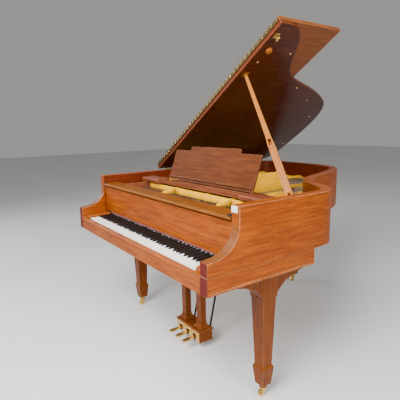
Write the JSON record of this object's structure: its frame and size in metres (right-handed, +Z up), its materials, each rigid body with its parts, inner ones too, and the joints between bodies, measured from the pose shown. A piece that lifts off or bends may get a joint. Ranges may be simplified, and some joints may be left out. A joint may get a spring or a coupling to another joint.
{
  "type": "grand piano",
  "caption": "Grand piano with its lid open on the long prop, front flap folded back, music desk up and keyboard uncovered, on square tapered legs.",
  "frame": {"origin": "middle of the footprint, on the floor under the casters", "axes": "+Z up, +X towards the treble side, +Y from the keyboard towards the tail"},
  "size_m": [1.5006, 1.79, 1.8183],
  "materials": {
    "mahogany": "satin lacquer over horizontal ribbon grain",
    "inner_veneer": "satin lacquer, dark red-brown",
    "maple": "bare, sanded",
    "spruce": "satin varnish",
    "prop_wood": "satin lacquer, pale",
    "ebony": "satin black",
    "ivory": "polished",
    "gold_iron": "bronze paint",
    "brass": "polished, lightly tarnished",
    "steel": "drawn wire",
    "felt": "pressed wool felt"
  },
  "bodies": {
    "case": {"outer_rim": "mahogany", "inner_rim": "inner_veneer", "base_rail_left": "mahogany", "base_rail_right": "mahogany", "keybed": "mahogany", "belly_rail": "maple", "rim_braces": "maple", "stretcher": "mahogany", "pin_block": "maple", "soundboard": "spruce", "treble_bridge": "maple", "bass_bridge": "maple", "cast_iron_plate": "gold_iron", "treble_strings": "steel", "bass_strings": "brass", "keyslip": "mahogany", "key_block_left": "mahogany", "key_block_right": "mahogany", "lid_hinge_front": "brass", "lid_hinge_rear": "brass", "prop_bracket": "brass", "desk_rail_left": "mahogany", "desk_rail_right": "mahogany", "leg_front_left": "mahogany", "leg_front_right": "mahogany", "leg_rear": "mahogany", "lyre_frame": "mahogany", "pedal_plate": "brass", "lyre_rod_left": "ebony", "lyre_rod_right": "ebony"},
    "lid": {"lid_main": "inner_veneer", "prop_cup": "brass"},
    "lid_flap": {"lid_front": "mahogany", "lid_piano_hinge": "brass"},
    "prop": {"prop_stick": "prop_wood"},
    "short_prop": {"prop_short": "prop_wood"},
    "desk_slide_tray": {"desk_tray": "mahogany"},
    "desk_back": {"desk_panel": "mahogany"},
    "desk_strut": {"desk_brace": "mahogany"},
    "key_cover": {"fallboard": "mahogany"},
    "action": {"key_frame": "maple", "natural_keys": "ivory", "sharp_keys": "ebony", "action_stack": "maple", "hammers": "felt"},
    "damper_set": {"dampers": "ebony"},
    "key_c4_lever": {"key_c4": "ivory"},
    "key_d4_lever": {"key_d4": "ivory"},
    "key_e4_lever": {"key_e4": "ivory"},
    "key_c_sharp4_lever": {"key_c_sharp4": "ebony"},
    "key_d_sharp4_lever": {"key_d_sharp4": "ebony"},
    "pedal_left_lever": {"pedal_left": "brass"},
    "pedal_middle_lever": {"pedal_middle": "brass"},
    "pedal_right_lever": {"pedal_right": "brass"},
    "caster_front_left": {"caster_fork_front_left": "brass"},
    "wheel_front_left": {"caster_wheel_front_left": "brass"},
    "caster_front_right": {"caster_fork_front_right": "brass"},
    "wheel_front_right": {"caster_wheel_front_right": "brass"},
    "caster_rear": {"caster_fork_rear": "brass"},
    "wheel_rear": {"caster_wheel_rear": "brass"}
  },
  "joints": [
    {"name": "lid_hinge", "type": "hinge", "parent": "case", "child": "lid", "pos_m": [-0.73021, 0.269, 0.9942], "axis": [0, 1, 0], "range_deg": [0, 32]},
    {"name": "flap_hinge", "type": "hinge", "parent": "lid", "child": "lid_flap", "pos_m": [-0.74346, -0.2694, 1.0154], "axis": [0.848, 0, 0.5299], "range_deg": [0, 180]},
    {"name": "prop_fold", "type": "hinge", "parent": "case", "child": "prop", "pos_m": [0.66279, -0.335, 0.962], "axis": [-0.6965, -0.6022, -0.3903], "range_deg": [0, 62.84]},
    {"name": "short_prop_swing", "type": "hinge", "parent": "prop", "child": "short_prop", "pos_m": [0.65148, -0.33615, 0.98397], "axis": [-0.6965, -0.6022, -0.3903], "range_deg": [-25, 0]},
    {"name": "desk_slide", "type": "slide", "parent": "case", "child": "desk_slide_tray", "axis": [0, -1, 0], "range_m": [0, 0.13]},
    {"name": "desk_fold", "type": "hinge", "parent": "desk_slide_tray", "child": "desk_back", "pos_m": [0.01279, -0.358, 0.96], "axis": [-1, 0, 0], "range_deg": [0, 70.02]},
    {"name": "brace_fold", "type": "hinge", "parent": "desk_slide_tray", "child": "desk_strut", "pos_m": [0.01279, -0.288, 0.959], "axis": [-1, 0, 0], "range_deg": [0, 115.02]},
    {"name": "fallboard_hinge", "type": "hinge", "parent": "case", "child": "key_cover", "pos_m": [0.01279, -0.71, 0.765], "axis": [1, 0, 0], "range_deg": [0, 90]},
    {"name": "action_shift", "type": "slide", "parent": "case", "child": "action", "axis": [1, 0, 0], "range_m": [0, 0.0025]},
    {"name": "key_c4_press", "type": "hinge", "parent": "action", "child": "key_c4_lever", "pos_m": [-0.04621, -0.645, 0.703], "axis": [1, 0, 0], "range_deg": [0, 2.4]},
    {"name": "key_d4_press", "type": "hinge", "parent": "action", "child": "key_d4_lever", "pos_m": [-0.02261, -0.645, 0.703], "axis": [1, 0, 0], "range_deg": [0, 2.4]},
    {"name": "key_e4_press", "type": "hinge", "parent": "action", "child": "key_e4_lever", "pos_m": [0.00099, -0.645, 0.703], "axis": [1, 0, 0], "range_deg": [0, 2.4]},
    {"name": "key_c_sharp4_press", "type": "hinge", "parent": "action", "child": "key_c_sharp4_lever", "pos_m": [-0.03791, -0.645, 0.703], "axis": [1, 0, 0], "range_deg": [0, 2.4]},
    {"name": "key_d_sharp4_press", "type": "hinge", "parent": "action", "child": "key_d_sharp4_lever", "pos_m": [-0.00731, -0.645, 0.703], "axis": [1, 0, 0], "range_deg": [0, 2.4]},
    {"name": "pedal_left_press", "type": "hinge", "parent": "case", "child": "pedal_left_lever", "pos_m": [-0.04921, -0.455, 0.076], "axis": [1, 0, 0], "range_deg": [0, 5.02]},
    {"name": "pedal_middle_press", "type": "hinge", "parent": "case", "child": "pedal_middle_lever", "pos_m": [0.02479, -0.455, 0.076], "axis": [1, 0, 0], "range_deg": [0, 5]},
    {"name": "pedal_right_press", "type": "hinge", "parent": "case", "child": "pedal_right_lever", "pos_m": [0.09879, -0.455, 0.076], "axis": [1, 0, 0], "range_deg": [0, 5.02]},
    {"name": "damper_lift", "type": "slide", "parent": "case", "child": "damper_set", "axis": [0, 0, 1], "range_m": [0, 0.0045]},
    {"name": "caster_swivel_front_left", "type": "hinge", "parent": "case", "child": "caster_front_left", "pos_m": [-0.63021, -0.503, 0.05], "axis": [0, 0, 1], "continuous": true},
    {"name": "wheel_spin_front_left", "type": "hinge", "parent": "caster_front_left", "child": "wheel_front_left", "pos_m": [-0.63021, -0.514, 0.01884], "axis": [1, 0, 0], "continuous": true},
    {"name": "caster_swivel_front_right", "type": "hinge", "parent": "case", "child": "caster_front_right", "pos_m": [0.65579, -0.503, 0.05], "axis": [0, 0, 1], "continuous": true},
    {"name": "wheel_spin_front_right", "type": "hinge", "parent": "caster_front_right", "child": "wheel_front_right", "pos_m": [0.65579, -0.514, 0.01884], "axis": [1, 0, 0], "continuous": true},
    {"name": "caster_swivel_rear", "type": "hinge", "parent": "case", "child": "caster_rear", "pos_m": [-0.24721, 0.725, 0.05], "axis": [0, 0, 1], "continuous": true},
    {"name": "wheel_spin_rear", "type": "hinge", "parent": "caster_rear", "child": "wheel_rear", "pos_m": [-0.24721, 0.714, 0.01884], "axis": [1, 0, 0], "continuous": true}
  ],
  "couplings": [
    {"joint": "prop_fold", "follows": "lid_hinge", "ratio": 1.9632},
    {"joint": "desk_fold", "follows": "lid_hinge", "ratio": 2.1875},
    {"joint": "brace_fold", "follows": "lid_hinge", "ratio": 3.5938},
    {"joint": "pedal_left_press", "follows": "action_shift", "rad_per_m": 34.907},
    {"joint": "pedal_right_press", "follows": "damper_lift", "rad_per_m": 19.393}
  ]
}
